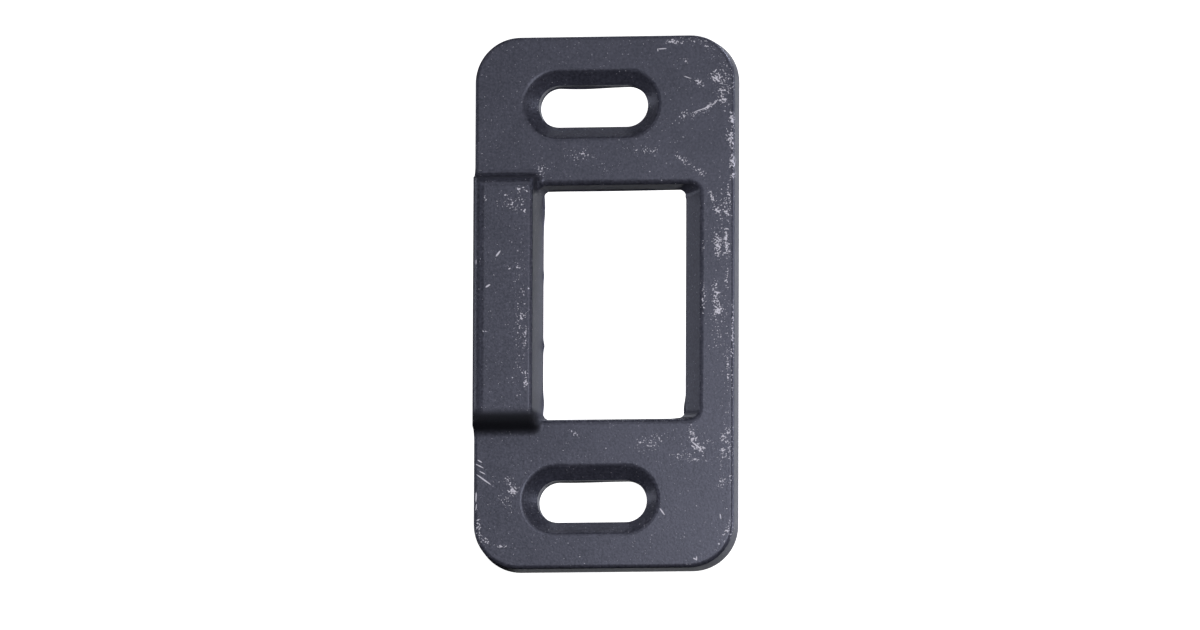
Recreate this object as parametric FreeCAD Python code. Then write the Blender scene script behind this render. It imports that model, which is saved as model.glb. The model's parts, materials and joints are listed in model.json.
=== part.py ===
import FreeCAD, Part
import math
import os

from FreeCAD import BoundBox, Vector

# Door strike plate, cast in one piece: a flat plate with a latch window, a raised lip beside the
# window and two countersunk screw slots. Millimetres and degrees.
# The origin is the middle of the flat back. X runs across the plate, away from the lip, Y runs along
# the plate, and Z points from the back to the face.

# Plate, with sides that lean in towards the face
plate_width = 33.7
plate_length = 68.6
plate_thickness = 4.0
plate_corner_radius = 5.8
plate_draft = 2.0
plate_edge_radius = 0.5

# Latch window: drafted ends, and a ramp above a straight land that leads the latch in
window_to_lip = 8.34
window_to_ramp = 10.12
window_length = 29.5
window_land = 0.8
window_end_draft = 5.0
ramp_run = 2.3
ramp_corner_radius = 1.2
window_rim_radius = 0.8

# Lip: its outer side runs on from the plate's side, and its inner side from the window's wall.
# Its ends stand past the window's rounded rim by the lip's edge radius and a short shoulder.
lip_height = 3.3
lip_end_slope = 14.5
lip_wall_draft = 4.0
lip_end_radius = 1.3
lip_shoulder = 0.02
lip_outer_radius = 1.65
lip_outer_crease = 14.0
lip_edge_radius = 0.5
lip_foot_radius = 1.0

# Screw slots: a straight land below a seat for flat-head screws
slot_spacing = 50.8
slot_offset = -1.72
slot_length = 14.1
slot_width = 5.4
seat_width = 8.8
seat_angle = 82.0
seat_rim_radius = 0.7

# Room that a cutting tool reaches past the faces it cuts through, and a span that counts as none
overrun = 1.0
flat = 1e-6


def lean(height, draft):
    """How far a wall with this draft moves sideways over this height."""
    return height * math.tan(math.radians(draft))


def plate_side(z):
    """X of the plate's side on the lip's side of the plate, at height z."""
    return lean(z, plate_draft) - plate_width / 2


def lip_wall(z):
    """X of the lip's inner side, which is also the window's wall, at height z."""
    return -window_to_lip - lean(z, lip_wall_draft)


def window_end(z):
    """Y of the window's end at height z."""
    return window_length / 2 + lean(z, window_end_draft)


# Levels and half lengths that several features share
lip_top = plate_thickness + lip_height
window_half_length = window_end(plate_thickness)
lip_foot_half_length = window_half_length + window_rim_radius + lip_edge_radius + lip_shoulder


def polygon_face(points):
    return Part.Face(Part.makePolygon(points + points[:1]))


def tapered_box(low, high):
    """Box with flat sloping sides between two levels, each (x_low, x_high, half_length, z)."""
    rings = []
    for x_low, x_high, half_length, z in (low, high):
        rings.append([
            Vector(x_low, -half_length, z), Vector(x_high, -half_length, z),
            Vector(x_high, half_length, z), Vector(x_low, half_length, z),
        ])
    lower, upper = rings
    sides = []
    for index in range(4):
        after = (index + 1) % 4
        sides.append(polygon_face([lower[index], lower[after], upper[after], upper[index]]))
    return Part.Solid(Part.Shell([polygon_face(lower[::-1]), polygon_face(upper), *sides]))


def edges_within(shape, low, high):
    """Edges whose ends and middle all lie in the box between two corners."""
    room = 1e-4
    box = BoundBox(low.x - room, low.y - room, low.z - room, high.x + room, high.y + room, high.z + room)
    found = []
    for edge in shape.Edges:
        marks = [vertex.Point for vertex in edge.Vertexes] + [edge.CenterOfMass]
        if all(box.isInside(mark) for mark in marks):
            found.append(edge)
    return found


def upright_edges(shape):
    """Edges that rise from one level to another."""
    return [edge for edge in shape.Edges if edge.BoundBox.ZLength > flat]


def make_plate():
    """Blank with drafted sides, round corners and a round edge to its face."""
    def level(z):
        return (plate_side(z), -plate_side(z), plate_length / 2 - lean(z, plate_draft), z)

    blank = tapered_box(level(0), level(plate_thickness))
    blank = blank.makeFillet(plate_corner_radius, upright_edges(blank))
    reach = Vector(plate_width, plate_length, 0)
    face = Vector(0, 0, plate_thickness)
    return blank.makeFillet(plate_edge_radius, edges_within(blank, face - reach, face + reach))


def make_lip():
    """Bar with sloped ends and round edges, the largest along its outer side and at its ends."""
    def level(z):
        return (plate_side(z), lip_wall(z), lip_foot_half_length - lean(z - plate_thickness, lip_end_slope), z)

    bar = tapered_box(level(0), level(lip_top))
    reach = Vector(plate_width, plate_length, 0)
    top = Vector(0, 0, lip_top)
    end_edges = [edge for edge in edges_within(bar, top - reach, top + reach) if edge.BoundBox.YLength < flat]
    bar = bar.makeFillet(lip_end_radius, end_edges)

    # One round runs up an inner corner, along the top and down the other inner corner
    inner_wall = max(bar.Faces, key=lambda face: face.CenterOfMass.x)
    bar = bar.makeFillet(lip_edge_radius, [edge for edge in inner_wall.Edges if edge.BoundBox.ZMax > flat])

    # The outer round is tangent to the top, meets the side at a slight crease and the end rounds at a mitre
    round_width = lip_outer_radius * math.cos(math.radians(lip_outer_crease))
    axis_start = Vector(plate_side(lip_top) + round_width, -plate_length / 2, lip_top - lip_outer_radius)
    rod = Part.makeCylinder(lip_outer_radius, plate_length, axis_start, Vector(0, 1, 0))
    corner = Part.makeBox(
        plate_width, plate_length, lip_outer_radius + overrun, axis_start - Vector(plate_width, 0, 0)
    )
    return bar.cut(corner.cut(rod))


def make_window():
    """Cutter for the latch window."""
    ramp_angle = math.degrees(math.atan2(ramp_run, plate_thickness - window_land))

    def level(z, ramp):
        return (lip_wall(z), window_to_ramp + ramp, window_end(z), z)

    mouth = plate_thickness + overrun
    walls = tapered_box(level(window_land, 0), level(mouth, lean(mouth - window_land, ramp_angle)))
    ramp_corners = [edge for edge in upright_edges(walls) if edge.CenterOfMass.x > walls.CenterOfMass.x]
    walls = walls.makeFillet(ramp_corner_radius, ramp_corners)
    narrow_end = min(walls.Faces, key=lambda face: face.CenterOfMass.z)
    land = narrow_end.extrude(Vector(0, 0, -window_land - overrun))
    return walls.fuse(land.common(tapered_box(level(-overrun, 0), level(window_land, 0))))


def make_slot(y):
    """Cutter for one screw slot, with the seat for the screw's head."""
    half_run = (slot_length - slot_width) / 2

    def outline(width, z):
        low = Vector(slot_offset - half_run, y, z)
        high = Vector(slot_offset + half_run, y, z)
        side = Vector(0, width / 2, 0)
        end = Vector(width / 2, 0, 0)
        return Part.Wire([
            Part.makeLine(low - side, high - side),
            Part.Arc(high - side, high + end, high + side).toShape(),
            Part.makeLine(high + side, low + side),
            Part.Arc(low + side, low - end, low - side).toShape(),
        ])

    seat_slope = seat_angle / 2
    seat_depth = (seat_width - slot_width) / 2 / math.tan(math.radians(seat_slope))
    seat_foot = plate_thickness - seat_depth
    land = Part.Face(outline(slot_width, -overrun)).extrude(Vector(0, 0, seat_foot + overrun))
    mouth = outline(seat_width + 2 * lean(overrun, seat_slope), plate_thickness + overrun)
    return land.fuse(Part.makeLoft([outline(slot_width, seat_foot), mouth], True, True))


def round_slot_rims(shape):
    """Rounds the edge between each slot's seat and the face."""
    reach = Vector((slot_length - slot_width + seat_width) / 2, seat_width / 2, 0)
    rims = []
    for side in (-1, 1):
        middle = Vector(slot_offset, side * slot_spacing / 2, plate_thickness)
        rims += edges_within(shape, middle - reach, middle + reach)
    return shape.makeFillet(seat_rim_radius, rims)


def round_window_rim(shape):
    """Rounds the edge between the face and the window's two ends and ramp."""
    low = Vector(lip_wall(plate_thickness), -window_half_length, plate_thickness)
    high = Vector(window_to_ramp + ramp_run, window_half_length, plate_thickness)
    return shape.makeFillet(window_rim_radius, edges_within(shape, low, high))


def round_lip_foot(shape):
    """Fills the inner corner at the foot of each end of the lip, and on down the window's corner."""
    feet = []
    for side in (-1, 1):
        ends = sorted((side * window_half_length, side * lip_foot_half_length))
        low = Vector(plate_side(0), ends[0], plate_thickness)
        high = Vector(lip_wall(plate_thickness), ends[1], plate_thickness)
        feet += edges_within(shape, low, high)
    return shape.makeFillet(lip_foot_radius, feet)


body = make_plate().fuse(make_lip()).cut(make_window())
for side in (-1, 1):
    body = body.cut(make_slot(side * slot_spacing / 2))
body = body.removeSplitter()
body = round_lip_foot(round_window_rim(round_slot_rims(body)))

os.makedirs("parts", exist_ok=True)
body.Solids[0].exportStep("parts/strike_plate.step")
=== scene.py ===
import json
import math

import bpy
import numpy as np
from mathutils import Matrix, Vector


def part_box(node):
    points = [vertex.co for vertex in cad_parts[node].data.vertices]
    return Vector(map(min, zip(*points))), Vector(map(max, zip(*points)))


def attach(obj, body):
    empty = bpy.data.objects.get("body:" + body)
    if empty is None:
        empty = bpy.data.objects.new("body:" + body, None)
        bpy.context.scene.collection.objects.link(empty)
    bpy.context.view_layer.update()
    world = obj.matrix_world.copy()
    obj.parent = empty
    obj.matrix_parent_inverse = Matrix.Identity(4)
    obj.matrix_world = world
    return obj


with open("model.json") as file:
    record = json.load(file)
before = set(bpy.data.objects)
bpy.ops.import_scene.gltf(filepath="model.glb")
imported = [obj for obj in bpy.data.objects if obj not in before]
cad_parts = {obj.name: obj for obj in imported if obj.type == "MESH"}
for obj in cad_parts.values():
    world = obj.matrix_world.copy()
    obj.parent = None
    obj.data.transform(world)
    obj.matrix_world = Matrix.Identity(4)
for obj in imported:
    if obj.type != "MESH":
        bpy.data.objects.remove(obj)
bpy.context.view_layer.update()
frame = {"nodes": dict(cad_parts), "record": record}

# Casting: the whole strike plate, one metal casting with a thin black coat that takes up the grain of the
# mould. The coat is rubbed chalky and scratched, most of all along the right side, and a painted shade
# darkens the lower end of the lip and the plate just below it. Lengths of the plate are in millimetres.
mm = 0.001
plate = frame["nodes"]["strike_plate"]
face_level = 4.0
lip_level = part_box("strike_plate")[1].z / mm


class Field:
    """One output of a material's nodes. Arithmetic on it adds Math nodes to the same material."""

    def __init__(self, tree, output=None):
        self.tree = tree
        self.output = output

    def node(self, kind, settings, inputs, output=0):
        """Adds a node: settings go on the node itself first, inputs are values or Fields by socket."""
        made = self.tree.nodes.new(kind)
        for name, value in settings.items():
            setattr(made, name, value)
        for name, value in inputs.items():
            if isinstance(value, Field):
                self.tree.links.new(value.output, made.inputs[name])
            else:
                made.inputs[name].default_value = value
        return Field(self.tree, made.outputs[output] if made.outputs else None)

    def math(self, operation, *terms):
        return self.node("ShaderNodeMath", {"operation": operation}, dict(enumerate(terms)))

    def __add__(self, other):
        return self.math("ADD", self, other)

    def __sub__(self, other):
        return self.math("SUBTRACT", self, other)

    def __rsub__(self, other):
        return self.math("SUBTRACT", other, self)

    def __mul__(self, other):
        return self.math("MULTIPLY", self, other)

    def __abs__(self):
        return self.math("ABSOLUTE", self)

    __radd__ = __add__
    __rmul__ = __mul__

    def noise(self, grain, detail=2.0, distortion=0.0):
        """Noise read at this place, with lumps about one grain across, in millimetres."""
        sockets = {"Vector": self, "Scale": 1 / (grain * mm), "Detail": detail, "Distortion": distortion}
        return self.node("ShaderNodeTexNoise", {}, sockets, "Fac")

    def step(self, low, high):
        """Smooth rise from 0 where this is low to 1 where it is high."""
        return self.node(
            "ShaderNodeMapRange", {"interpolation_type": "SMOOTHSTEP"},
            {"Value": self, "From Min": low, "From Max": high}, "Result",
        )

    def mix(self, without, colour):
        """Colour that goes from one to the other as this goes from 0 to 1."""
        sockets = {"Factor": self, 6: without, 7: colour}
        return self.node("ShaderNodeMix", {"data_type": "RGBA"}, sockets, 2)


# Rubbed patches on the face and on the lip: x, y, half length, half width, turn in degrees, strength
face_rubs = [
    (8.65, 33.35, 1.35, 0.54, 8, 1.3), (10.4, 30.9, 1.17, 0.36, -20, 0.9), (11.1, 33.5, 2.88, 0.45, -8, 0.6),
    (12.8, 32.9, 1.8, 0.9, -35, 0.6), (13.3, 32.4, 0.9, 0.72, 0, 0.7), (12.1, 28.1, 1.26, 0.63, -15, 0.9),
    (14.6, 28.6, 1.62, 1.35, -30, 1), (15.1, 26.8, 2.16, 0.63, 80, 0.85), (15.2, 25.7, 1.08, 0.81, 0, 1),
    (13.4, 24.9, 1.62, 0.63, 30, 1), (10.3, 23.9, 1.26, 0.63, 25, 0.9), (16.05, 29.4, 3.24, 0.81, 100, 0.6),
    (16.4, 23.2, 1.8, 0.63, 95, 1.1), (16.3, 20.8, 2.52, 0.9, 92, 1), (16.5, 17.9, 1.8, 0.72, 85, 1.1),
    (16.5, 16, 1.17, 0.45, 75, 1.2), (9.9, 18.2, 2.34, 0.72, -40, 0.8), (12.1, 16.6, 2.88, 0.63, -25, 0.65),
    (13.8, 13.3, 1.62, 0.45, -65, 0.9), (14.5, 11.5, 1.44, 0.63, -60, 1), (15.7, 11.4, 2.88, 0.9, 92, 0.9),
    (15.7, 7.5, 3.6, 0.72, 92, 1.05), (14.6, 7, 2.34, 0.99, 95, 1.1), (12.7, 7.1, 1.44, 0.36, 90, 0.6),
    (15.8, 2.7, 1.8, 0.45, 90, 0.85), (14.45, 0.2, 3.6, 0.9, 95, 1), (14.7, -1.4, 1.44, 0.81, 60, 1.3),
    (12.8, 0.2, 2.7, 0.54, 88, 0.8), (16.5, -4.5, 6.84, 0.32, 90, 0.9), (16.5, -11.1, 2.34, 0.29, 90, 0.8),
    (16, -14.7, 1.62, 0.29, 90, 0.7), (11.5, -17.6, 2.16, 1.08, 100, 0.85), (12.1, -18.7, 2.16, 0.9, -35, 1),
    (11.1, -20.1, 3.96, 0.9, -5, 0.6), (15.6, -17.5, 2.16, 1.08, 80, 0.8), (15.3, -19.3, 1.08, 0.9, 0, 0.9),
    (15.1, -20.9, 2.16, 0.31, 90, 0.9), (15.2, -23.3, 1.26, 0.81, 70, 0.9), (16.3, -22.7, 1.8, 0.36, 90, 0.8),
    (16, -29.6, 2.16, 1.26, 60, 0.7), (14.7, -30.4, 0.36, 0.27, 0, 1), (14.8, -31.3, 0.45, 0.22, 0, 1),
    (-11.65, -24.1, 1.26, 0.9, 30, 1.15), (-12, -23, 1.44, 0.72, -30, 0.8),
    (-12.5, -25.6, 2.16, 0.9, -50, 0.6), (-16.1, -28.7, 2.88, 0.63, 95, 0.8),
    (-15.3, -30.5, 1.62, 0.63, -40, 0.8), (-13, -31.2, 2.34, 0.45, -8, 0.75),
    (9.2, 33.2, 1.6, 0.5, 4, 1.0), (16, 13.5, 2.6, 0.5, 92, 0.8), (15.9, -8.5, 4.5, 0.35, 91, 0.7),
    (-3.5, -17, 1.44, 0.54, -15, 0.7), (6.2, -18, 3.24, 1.62, 10, 0.6), (-3.1, 18.8, 2.7, 1.8, 0, 0.5),
    (5.3, 19.4, 4.68, 0.9, 0, 0.5), (-8.2, 17.2, 1.8, 1.26, 0, 0.55), (15.3, 28.5, 5.5, 1.8, 100, 0.55),
    (15.2, 9, 9, 1.5, 92, 0.46), (14.8, -2.5, 7, 1.6, 90, 0.4), (16, -18, 9, 1.0, 90, 0.5),
    (12.5, 24.4, 5.5, 0.8, 28, 0.5), (12.5, -18.5, 4, 2.4, -30, 0.45),
]
lip_rubs = [
    (-14.9, 13.2, 0.9, 0.27, 90, 0.9), (-12.3, 13.4, 0.36, 0.27, 0, 1.2), (-10.4, 14.1, 1.26, 0.63, 0, 0.8),
    (-9.4, 13.9, 0.36, 0.27, 0, 1), (-11.3, 12, 1.62, 0.4, -60, 0.9), (-9.85, 11.4, 0.63, 0.27, 60, 1),
    (-11.7, 4, 0.29, 0.25, 0, 1.2), (-10.7, 4.3, 0.72, 0.29, 80, 1.1), (-10, 0.7, 2.16, 0.32, 85, 0.65),
    (-9.3, 1.4, 0.23, 0.23, 0, 1.5), (-10.6, -0.5, 0.36, 0.27, 90, 0.9), (-10.2, -2.2, 1.08, 0.72, 110, 1.1),
    (-9.7, -5, 2.7, 0.63, 85, 0.8), (-9.6, -9.5, 0.9, 0.54, 0, 1), (-9.6, -10.8, 1.62, 0.54, 85, 1),
    (-14.6, -4.1, 0.54, 0.54, 0, 0.8), (-14.8, -13.8, 0.9, 0.27, 0, 0.6), (-9.4, -14, 0.54, 0.27, 60, 0.7),
    (-10.3, -3, 15, 1.3, 90, 0.44), (-11, 12.5, 3.0, 1.5, 10, 0.38),
]

# Scratches and chips that cut clean through the coat: from x, y to x, y, half width, strength
face_scratches = [
    (6.85, 32.4, 7.9, 32.45, 0.09, 1), (6.8, 32.45, 6.85, 32.1, 0.09, 0.9),
    (10.1, 28.9, 11.2, 28.5, 0.08, 0.7), (13.8, 28.8, 14.85, 28.1, 0.11, 1.2),
    (14.1, 29.3, 14.4, 29.7, 0.1, 1), (14.6, 25.8, 13.8, 25, 0.08, 0.9),
    (13.8, 25, 11.5, 24.2, 0.08, 1), (11.35, -18.1, 12.4, -19, 0.11, 1.2),
    (11.3, -18.6, 11.7, -18.85, 0.11, 1.1), (12.75, -18.8, 13.1, -19, 0.1, 1.1),
    (7.3, -26.65, 7.85, -27.4, 0.11, 1.3), (15, -27.4, 15.1, -28, 0.1, 1.3),
    (-16.2, -20.15, -15.6, -20.5, 0.1, 1), (-16.4, -20.7, -15.45, -21.2, 0.1, 1),
    (-15.95, -21.6, -15.2, -22, 0.09, 0.9), (-16.2, -22.1, -14.55, -23.3, 0.11, 1.2),
    (-16.35, -24.3, -16.4, -25.5, 0.11, 1.2), (-16.3, -25.8, -16.4, -26.6, 0.09, 1),
    (11.55, -33, 12, -33.2, 0.1, 1.1), (12, -32.8, 12, -33.3, 0.09, 1.1),
]
lip_scratches = [
    (-13.45, 5.6, -12.95, 6.25, 0.13, 1.6), (-14.75, 1.65, -14.25, 1.95, 0.14, 1.5),
    (-16.1, 4.65, -16.1, 5.2, 0.11, 1.4),
]

# Painted shade: a dark band that stands in for the shadow at the lower end of the lip. Y of the middle of the
# band, how far it reaches on each side, and X where it ends and is full
painted_shade_middle = -15.5
painted_shade_reach = 1.9
painted_shade_core = 0.5
painted_shade_end = -7.6
painted_shade_full = -8.8

# Colours of the coat in its darkest and lightest grain, of chalk and bare metal, of the painted shade, and of
# gloss
coat_dark = (0.026, 0.0275, 0.041, 1)
coat_light = (0.074, 0.075, 0.104, 1)
rubbed_pale = (0.75, 0.73, 0.83, 1)
painted_shade_black = (0.003, 0.003, 0.004, 1)
gloss_tint = (0.76, 0.785, 1.0, 1)
gloss_level = 0.64
coat_roughness = 0.38

# Sizes of the casting's grain, of clouds in the coat, of the curls that chalk gathers along, of its
# single specks, and of dust and the patches that it lies in
grain_size = 0.3
grain_depth = 0.04
cloud_size = 5.0
curl_size = 0.9
speck_size = 0.22
dust_size = 0.45
dust_patch_size = 3.0


def scratch_spots(scratches):
    """Scratches given by their two ends, as rubbed patches that run on past those ends, where they fade."""
    run_on = 1.4
    x0, y0, x1, y1, half_width, strength = np.transpose(scratches)
    half_length = np.hypot(x1 - x0, y1 - y0) / 2 * run_on
    turn = np.degrees(np.arctan2(y1 - y0, x1 - x0))
    return np.transpose([(x0 + x1) / 2, (y0 + y1) / 2, half_length, half_width, turn, strength]).tolist()


def spots_over(place, spots, level):
    """Greatest of the spots: each falls from its strength in its middle to 0 at the edge of its ellipse."""
    reach_down = 3.0
    greatest = 0.0
    for x, y, half_length, half_width, turn, strength in spots:
        local = place.node(
            "ShaderNodeMapping", {"vector_type": "TEXTURE"},
            {
                "Vector": place,
                "Location": (x * mm, y * mm, level * mm),
                "Rotation": (0, 0, math.radians(turn)),
                "Scale": (half_length * mm, half_width * mm, reach_down * mm),
            },
        )
        cone = local.node("ShaderNodeTexGradient", {"gradient_type": "SPHERICAL"}, {"Vector": local}, "Fac")
        greatest = place.math("MAXIMUM", cone * strength, greatest)
    return greatest


def black_coat():
    """Dark blue-grey matte coat on the grain of the casting, with chalk, scratches and dust on it, and a
    painted shade at the lip's lower end.
    """
    material = bpy.data.materials.new("black_casting")
    material.use_nodes = True
    tree = material.node_tree
    tree.nodes.clear()
    start = Field(tree)
    place = start.node("ShaderNodeTexCoord", {}, {}, "Object")
    grain = place.noise(grain_size, detail=3.0)
    cloud = place.noise(cloud_size, detail=3.0)

    # Chalk: specks that gather along contour lines of a noise, and close up where the rub was hardest
    curl = place.noise(curl_size, distortion=0.6)
    curl_line = 1 - place.math("MINIMUM", abs(curl - 0.5) * 12.0, 1.0)
    speck = place.noise(speck_size) + 0.14 * curl_line
    rub = place.math(
        "MAXIMUM", spots_over(place, face_rubs, face_level), spots_over(place, lip_rubs, lip_level)
    )
    chalk = (speck + 0.33 * rub).step(0.76, 0.9)

    # Scratches: bare metal, broken up a little by the grain
    cut = place.math(
        "MAXIMUM", spots_over(place, scratch_spots(face_scratches), face_level),
        spots_over(place, scratch_spots(lip_scratches), lip_level),
    )
    bare = (cut * (0.3 + 1.4 * grain)).step(0.12, 0.4)
    pale = place.math("MAXIMUM", chalk, bare)

    # Painted shade: a dark band across the lip's lower end and the plate beside it, standing in for its
    # shadow. Dust: paler grains that lie in patches
    across = start.node("ShaderNodeSeparateXYZ", {}, {"Vector": place}, "X")
    along = start.node("ShaderNodeSeparateXYZ", {}, {"Vector": place}, "Y")
    beside_lip = across.step(painted_shade_end * mm, painted_shade_full * mm)
    painted_shade_band = abs(along - painted_shade_middle * mm).step(painted_shade_reach * mm, painted_shade_core * mm) * beside_lip
    dust_patch = place.noise(dust_patch_size).step(0.4, 0.65)
    dust = place.noise(dust_size, detail=3.0).step(0.52, 0.75) * dust_patch

    tone = 0.4 + 0.7 * (cloud - 0.5) + 2.2 * (grain - 0.5) + 0.8 * dust
    coat = tone.mix(coat_dark, coat_light)
    # The painted shade turns the colour near black there and makes the coat more matte.
    colour = painted_shade_band.mix(pale.mix(coat, rubbed_pale), painted_shade_black)
    rough = coat_roughness + 0.15 * (grain - 0.5) + 0.4 * pale + 0.5 * painted_shade_band
    bump = start.node("ShaderNodeBump", {}, {"Strength": 0.5, "Distance": grain_depth * mm, "Height": grain})
    shader = start.node(
        "ShaderNodeBsdfPrincipled", {},
        {
            "Base Color": colour, "Roughness": rough, "Normal": bump,
            "Specular IOR Level": gloss_level, "Specular Tint": gloss_tint,
        },
    )
    start.node("ShaderNodeOutputMaterial", {}, {"Surface": shader})
    return material


black_casting = black_coat()
plate.data.materials.clear()
plate.data.materials.append(black_casting)

# Flash: thin ragged webs of metal that ran between the halves of the mould, left on the back edge of
# the latch window and of the screw slots. Each is a wedge carried round its opening, under the same coat.
outline_points = 720

# How deep a web is rooted in the wall, how high it stands there and at its tip, how far it is lifted off
# the back, and how far it reaches in where it has no lump
flash_root = 0.1
flash_rise = 0.3
flash_tip = 0.06
flash_lift = 0.01
flash_thin = 0.02


def rounded_outline(low, high, radius):
    """Points and inward directions round a rectangle with round corners. A corner's middle is stepped
    along the sides of the inner rectangle while the direction turns, so sides and arcs share one walk."""
    centre = (np.array(low) + high) / 2
    inner = (np.array(high) - low) / 2 - radius
    quarter = math.pi / 2
    arc = radius * quarter
    spans = [2 * inner[1], arc, 2 * inner[0], arc] * 2
    knots = np.concatenate([[0.0], np.cumsum(spans)])
    along = np.linspace(0.0, knots[-1], outline_points, endpoint=False)
    turn = np.interp(along, knots, np.repeat(np.arange(5), 2)[:9] * quarter)
    corner_x = np.interp(along, knots, inner[0] * np.array([1, 1, 1, -1, -1, -1, -1, 1, 1]))
    corner_y = np.interp(along, knots, inner[1] * np.array([-1, 1, 1, 1, 1, -1, -1, -1, -1]))
    outward = np.stack([np.cos(turn), np.sin(turn)], 1)
    return centre + np.stack([corner_x, corner_y], 1) + radius * outward, -outward


def flash_web(name, low, high, radius, lumps):
    """Wedge round an opening, in millimetres. It stands in from the edge by a thin reach plus the lumps,
    each a bell curve of the distance from the lump's place, and is rooted a little inside the wall."""
    points, inward = rounded_outline(low, high, radius)
    reach = np.full(outline_points, flash_thin)
    for x, y, lump_reach, spread in lumps:
        reach += lump_reach * np.exp(-((points - (x, y)) ** 2).sum(1) / spread ** 2)
    root = np.full(outline_points, -flash_root)
    offsets = np.stack([root, reach, reach, root], 1)
    ring = np.zeros((outline_points, 4, 3))
    ring[:, :, :2] = points[:, None] + offsets[:, :, None] * inward[:, None]
    ring[:, :, 2] = (flash_lift, flash_lift, flash_tip, flash_rise)
    index = np.arange(outline_points * 4).reshape(outline_points, 4)
    ahead = np.roll(index, -1, 0)
    quads = np.stack([index, np.roll(index, -1, 1), np.roll(ahead, -1, 1), ahead], 2).reshape(-1, 4)
    mesh = bpy.data.meshes.new(name)
    mesh.from_pydata((ring.reshape(-1, 3) * mm).tolist(), [], quads.tolist())
    mesh.materials.append(black_casting)
    web = bpy.data.objects.new(name, mesh)
    bpy.context.scene.collection.objects.link(web)
    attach(web, "root")


# The window's corners on its back edge, and the lumps of its flash: x, y, reach and spread
window_low = (-8.34, -14.75)
window_high = (10.12, 14.75)
window_radius = 0.6
window_lumps = [
    (10.1, 13.9, 0.15, 0.5), (10.1, -13.6, 0.32, 1.6), (-8.3, 12.6, 0.15, 2.0), (-8.3, 3.8, 0.08, 0.6),
    (-8.3, -5.2, 0.15, 0.6), (-8.3, -12.6, 0.13, 1.2), (10.1, -2.0, 0.08, 6.0), (0.0, 14.75, 0.07, 8.0),
]
flash_web("window_flash", window_low, window_high, window_radius, window_lumps)

# The slots' places and sizes are those of the mount that the screws use, and each has one wide lump
screw_slots = next(mount for mount in frame["record"]["mounts"] if mount["name"] == "screw_slots")
slot_radius = screw_slots["dims"]["hole_r_mm"]
slot_corner = np.array([screw_slots["dims"]["slot_length_mm"] / 2, slot_radius])
slot_lumps = {"upper_slot_flash": [(-3.5, 28.1, 0.22, 4.0)], "lower_slot_flash": [(-4.0, -22.7, 0.1, 4.0)]}
for side, (name, lumps) in zip((1, -1), slot_lumps.items()):
    slot_middle = np.array([screw_slots["pos_m"][0] / mm, side * screw_slots["dims"]["spacing_y_mm"] / 2])
    flash_web(name, slot_middle - slot_corner, slot_middle + slot_corner, slot_radius, lumps)

# Floor: a wide white table. It only shows to the camera, and the light it would throw back on the
# plate's sides comes from the lights below it, so that each side gets its own share.
floor_half = 3.0
floor_drop = 0.01 * mm
table = bpy.data.meshes.new("floor")
corners = [(-1, -1), (1, -1), (1, 1), (-1, 1)]
table.from_pydata([(x * floor_half, y * floor_half, -floor_drop) for x, y in corners], [], [(0, 1, 2, 3)])
floor = bpy.data.objects.new("floor", table)
bpy.context.scene.collection.objects.link(floor)
white = bpy.data.materials.new("white_table")
white.use_nodes = True
table_finish = {
    "Base Color": (0.85, 0.85, 0.85, 1.0),
    "Roughness": 0.8,
    "Emission Color": (1.0, 1.0, 1.0, 1.0),
    "Emission Strength": 1.0,
}
for socket, value in table_finish.items():
    white.node_tree.nodes["Principled BSDF"].inputs[socket].default_value = value
table.materials.append(white)
floor.visible_diffuse = False
floor.visible_glossy = False
floor.visible_transmission = False
floor.visible_shadow = False

# Light: wide soft lights far off, most of them from the back and the right, the light that the table
# throws back up, and two small soft boxes close above the plate that fade across its face.
sun_width = math.radians(20)
plain_light = (1.0, 1.0, 1.0)
cool_light = (0.92, 0.97, 1.12)
table_light = (0.96, 0.985, 1.06)


def add_light(name, kind, place, settings):
    """Light of a kind at a place, facing the plate."""
    data = bpy.data.lights.new(name, kind)
    for setting, value in settings.items():
        setattr(data, setting, value)
    light = bpy.data.objects.new(name, data)
    light.location = place
    light.rotation_euler = (-Vector(place)).to_track_quat("-Z", "Y").to_euler()
    bpy.context.scene.collection.objects.link(light)


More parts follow.
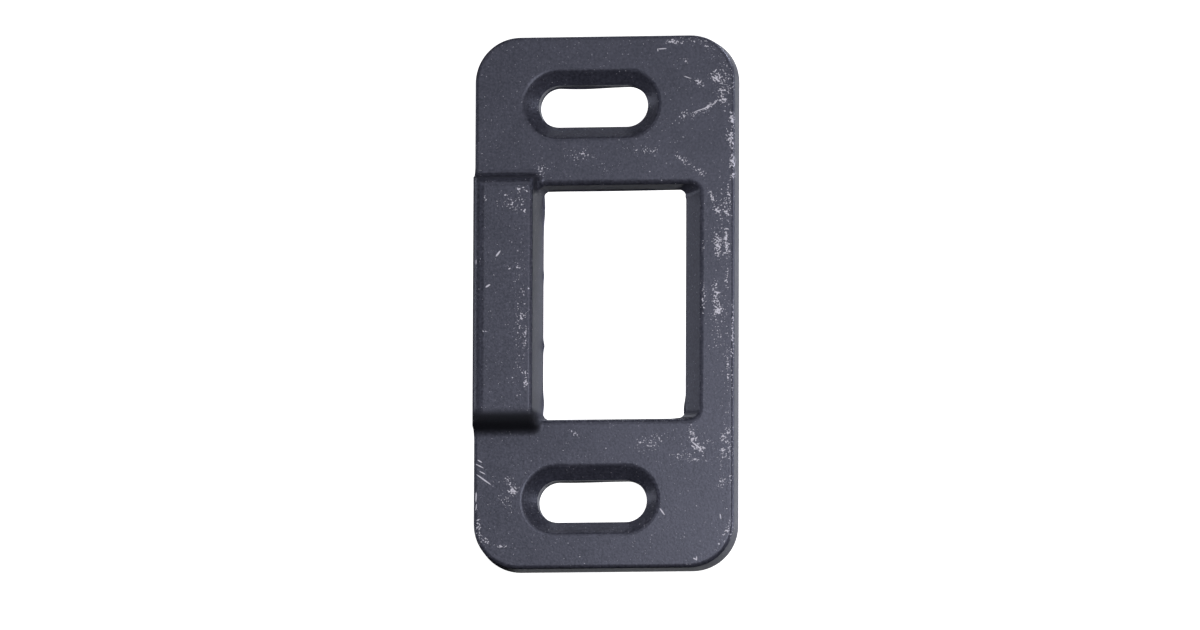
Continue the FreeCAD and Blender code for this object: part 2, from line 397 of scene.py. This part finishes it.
# Elevation and bearing from +X towards +Y in degrees, strength and tint
far_lights = {
    "back": (45, 90, 0.3, plain_light),
    "back_right": (40, 45, 0.18, plain_light),
    "back_left": (40, 135, 0.18, plain_light),
    "back_high": (75, 90, 0.135, plain_light),
    "left": (45, 180, 0.1, cool_light),
    "right": (30, 0, 0.1, plain_light),
    "table_right": (-12, 0, 1.0, table_light),
    "table_right_back": (-12, 45, 1.75, table_light),
    "table_back": (-35, 90, 0.36, table_light),
    "table_left": (-12, 180, 0.3, table_light),
    "table_left_back": (-45, 135, 0.1, table_light),
    "table_left_low": (-28, 158, 0.025, table_light),
    "table_under_back": (-80, 90, 0.12, table_light),
    "table_under_right": (-80, 0, 0.09, table_light),
    "table_under_front": (-80, 270, 0.06, table_light),
}
for name, (elevation, bearing, strength, tint) in far_lights.items():
    level = math.cos(math.radians(elevation))
    toward = (
        level * math.cos(math.radians(bearing)), level * math.sin(math.radians(bearing)),
        math.sin(math.radians(elevation)),
    )
    add_light(name, "SUN", toward, {"energy": strength, "angle": sun_width, "color": tint})

# Place and side in metres, and strength in watts
soft_boxes = {
    "overhead": ((0.0, 0.03, 0.3), 0.08, 0.078),
    "near_right": ((0.04, -0.025, 0.14), 0.05, 0.08),
}
for name, (place, side, strength) in soft_boxes.items():
    add_light(name, "AREA", place, {"energy": strength, "size": side})

world = bpy.data.worlds.new("studio")
world.use_nodes = True
world.node_tree.nodes["Background"].inputs["Color"].default_value = (0.0, 0.0, 0.0, 1.0)
bpy.context.scene.world = world
bpy.context.scene.view_settings.view_transform = "Standard"

# Camera: almost straight above the plate, a little to its right and below, with a long lens. The roll
# shares out the small angle by which the photograph's long and short sides are out of square.
view_right = math.radians(7.6)
view_below = math.radians(6.7)
camera_distance = 1.9
frame_width = 153.4 * mm
aim = Vector((-1.04, -1.26, 0.0)) * mm
roll = math.radians(0.2)

lens = bpy.data.cameras.new("camera")
lens.lens = lens.sensor_width * camera_distance / frame_width
lens.clip_start = 0.1
lens.clip_end = 20.0
camera = bpy.data.objects.new("camera", lens)
back = Vector((math.tan(view_right), -math.tan(view_below), 1.0)).normalized()
right = Vector((0.0, 1.0, 0.0)).cross(back).normalized()
up = back.cross(right)
turn = Matrix((right, up, back)).transposed() @ Matrix.Rotation(roll, 3, "Z")
camera.matrix_world = Matrix.Translation(aim + back * camera_distance) @ turn.to_4x4()
bpy.context.scene.collection.objects.link(camera)
bpy.context.scene.camera = camera
